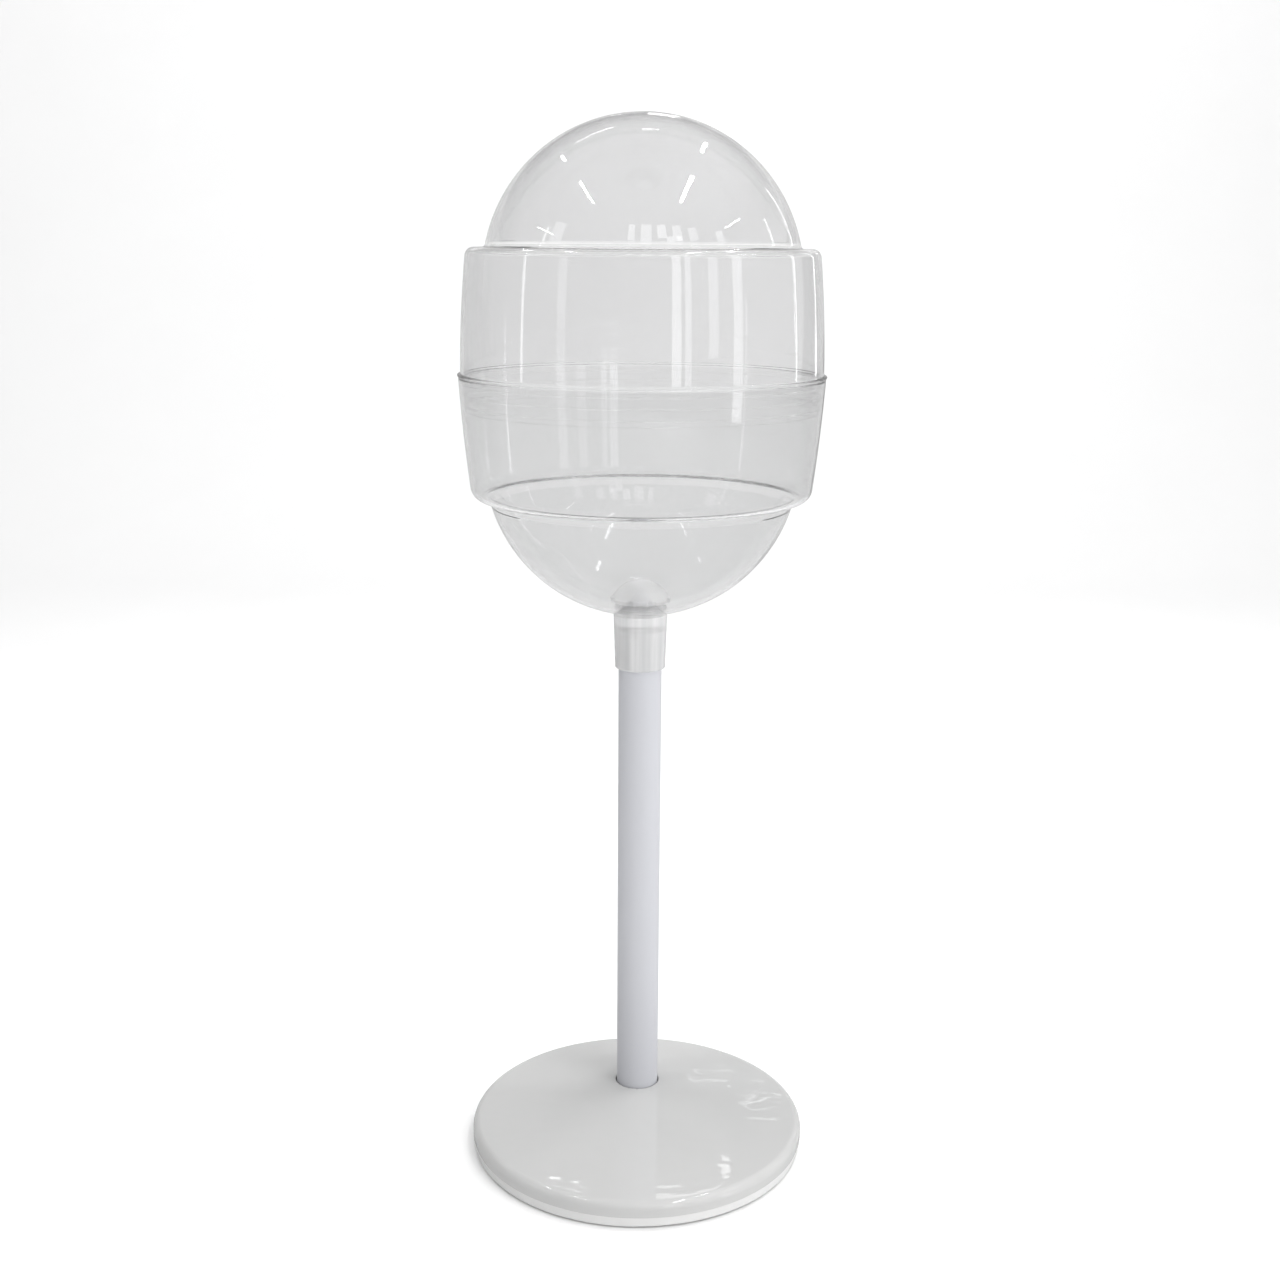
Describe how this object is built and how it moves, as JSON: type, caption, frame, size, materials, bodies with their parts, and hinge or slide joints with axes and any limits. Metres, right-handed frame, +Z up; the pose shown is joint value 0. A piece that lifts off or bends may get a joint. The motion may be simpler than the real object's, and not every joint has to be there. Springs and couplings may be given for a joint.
{
  "type": "sweet display capsule on a pole stand",
  "caption": "Clear two-part capsule with a lift-off domed lid, held by a clear neck socket on a white pole with a weighted round base.",
  "frame": {"origin": "centre of the base's underside, on the floor", "axes": "+Z up along the pole; -Y towards the front, where the base reaches out furthest; +X to the right seen from the front"},
  "size_m": [0.41, 0.48, 1.1695],
  "materials": {
    "shell_clear": "clear polished plastic",
    "neck_clear": "clear, lightly frosted plastic",
    "nut_plastic": "milky plastic",
    "cover_plastic": "polished white plastic",
    "tray_plastic": "white satin plastic",
    "pole_paint": "white powder coat",
    "bush_plastic": "natural nylon",
    "gasket_rubber": "translucent silicone",
    "pad_rubber": "foam rubber",
    "fastener_steel": "zinc plated",
    "ballast": "cast cement"
  },
  "bodies": {
    "stand": {"floor_pad": "pad_rubber", "base_plate": "tray_plastic", "base_cover": "cover_plastic", "base_ballast": "ballast", "base_screws": "fastener_steel", "anchor_bolt": "fastener_steel", "anchor_lock_washer": "fastener_steel", "anchor_washer": "fastener_steel", "pole_foot_plug": "fastener_steel", "pole": "pole_paint", "pole_top_plug": "bush_plastic"},
    "neck_sleeve": {"neck_bush": "bush_plastic", "neck_thrust_washer": "bush_plastic"},
    "bowl": {"collar": "neck_clear", "bowl_gasket": "gasket_rubber", "lower_shell": "shell_clear", "nut_washer": "bush_plastic", "cap_nut": "nut_plastic"},
    "seal": {"seal_ring": "gasket_rubber"},
    "lid": {"upper_shell": "shell_clear"}
  },
  "joints": [
    {"name": "capsule_lift", "type": "slide", "parent": "stand", "child": "neck_sleeve", "axis": [0, 0, 1], "range_m": [0, 0.06]},
    {"name": "capsule_turn", "type": "hinge", "parent": "neck_sleeve", "child": "bowl", "pos_m": [0, 0.082, 0.6], "axis": [0, 0, 1], "continuous": true},
    {"name": "lid_lift", "type": "slide", "parent": "bowl", "child": "seal", "axis": [0, 0, 1], "range_m": [0, 0.28]},
    {"name": "lid_turn", "type": "hinge", "parent": "seal", "child": "lid", "pos_m": [0, 0.082, 0.889], "axis": [0, 0, 1], "continuous": true}
  ]
}
